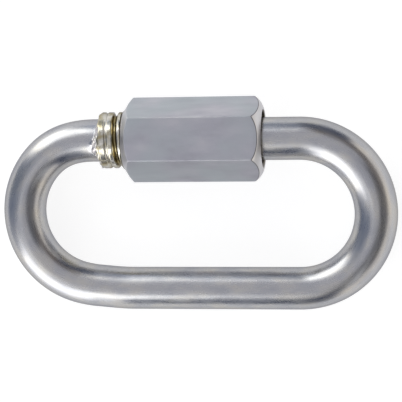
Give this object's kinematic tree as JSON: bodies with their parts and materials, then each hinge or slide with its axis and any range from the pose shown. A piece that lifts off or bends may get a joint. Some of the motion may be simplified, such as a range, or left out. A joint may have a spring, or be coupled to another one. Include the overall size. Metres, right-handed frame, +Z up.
{
  "type": "chain quick link",
  "caption": "Oblong loop of round zinc-plated steel rod, closed across its gap by a long hexagonal sleeve nut, for joining or mending a chain.",
  "frame": {"origin": "at floor level under the middle of the link, as it lies on a flat of its nut and on its plain bar", "axes": "+X along the link, from the short threaded end towards the end where the nut retracts; +Y from the plain bar to the nut; +Z up"},
  "size_m": [0.056, 0.03, 0.0104],
  "materials": {
    "zinc_rod": "bright zinc plate, smooth and fairly glossy, with a yellowish passivation on the threads",
    "zinc_nut": "satin zinc plate over drawn and turned faces"
  },
  "bodies": {
    "link": {"link_rod": "zinc_rod"},
    "nut": {"sleeve_nut": "zinc_nut"}
  },
  "joints": [
    {"name": "nut_travel", "type": "slide", "parent": "link", "child": "nut", "axis": [1, 0, 0], "range_m": [-0.0025, 0.0075]}
  ]
}
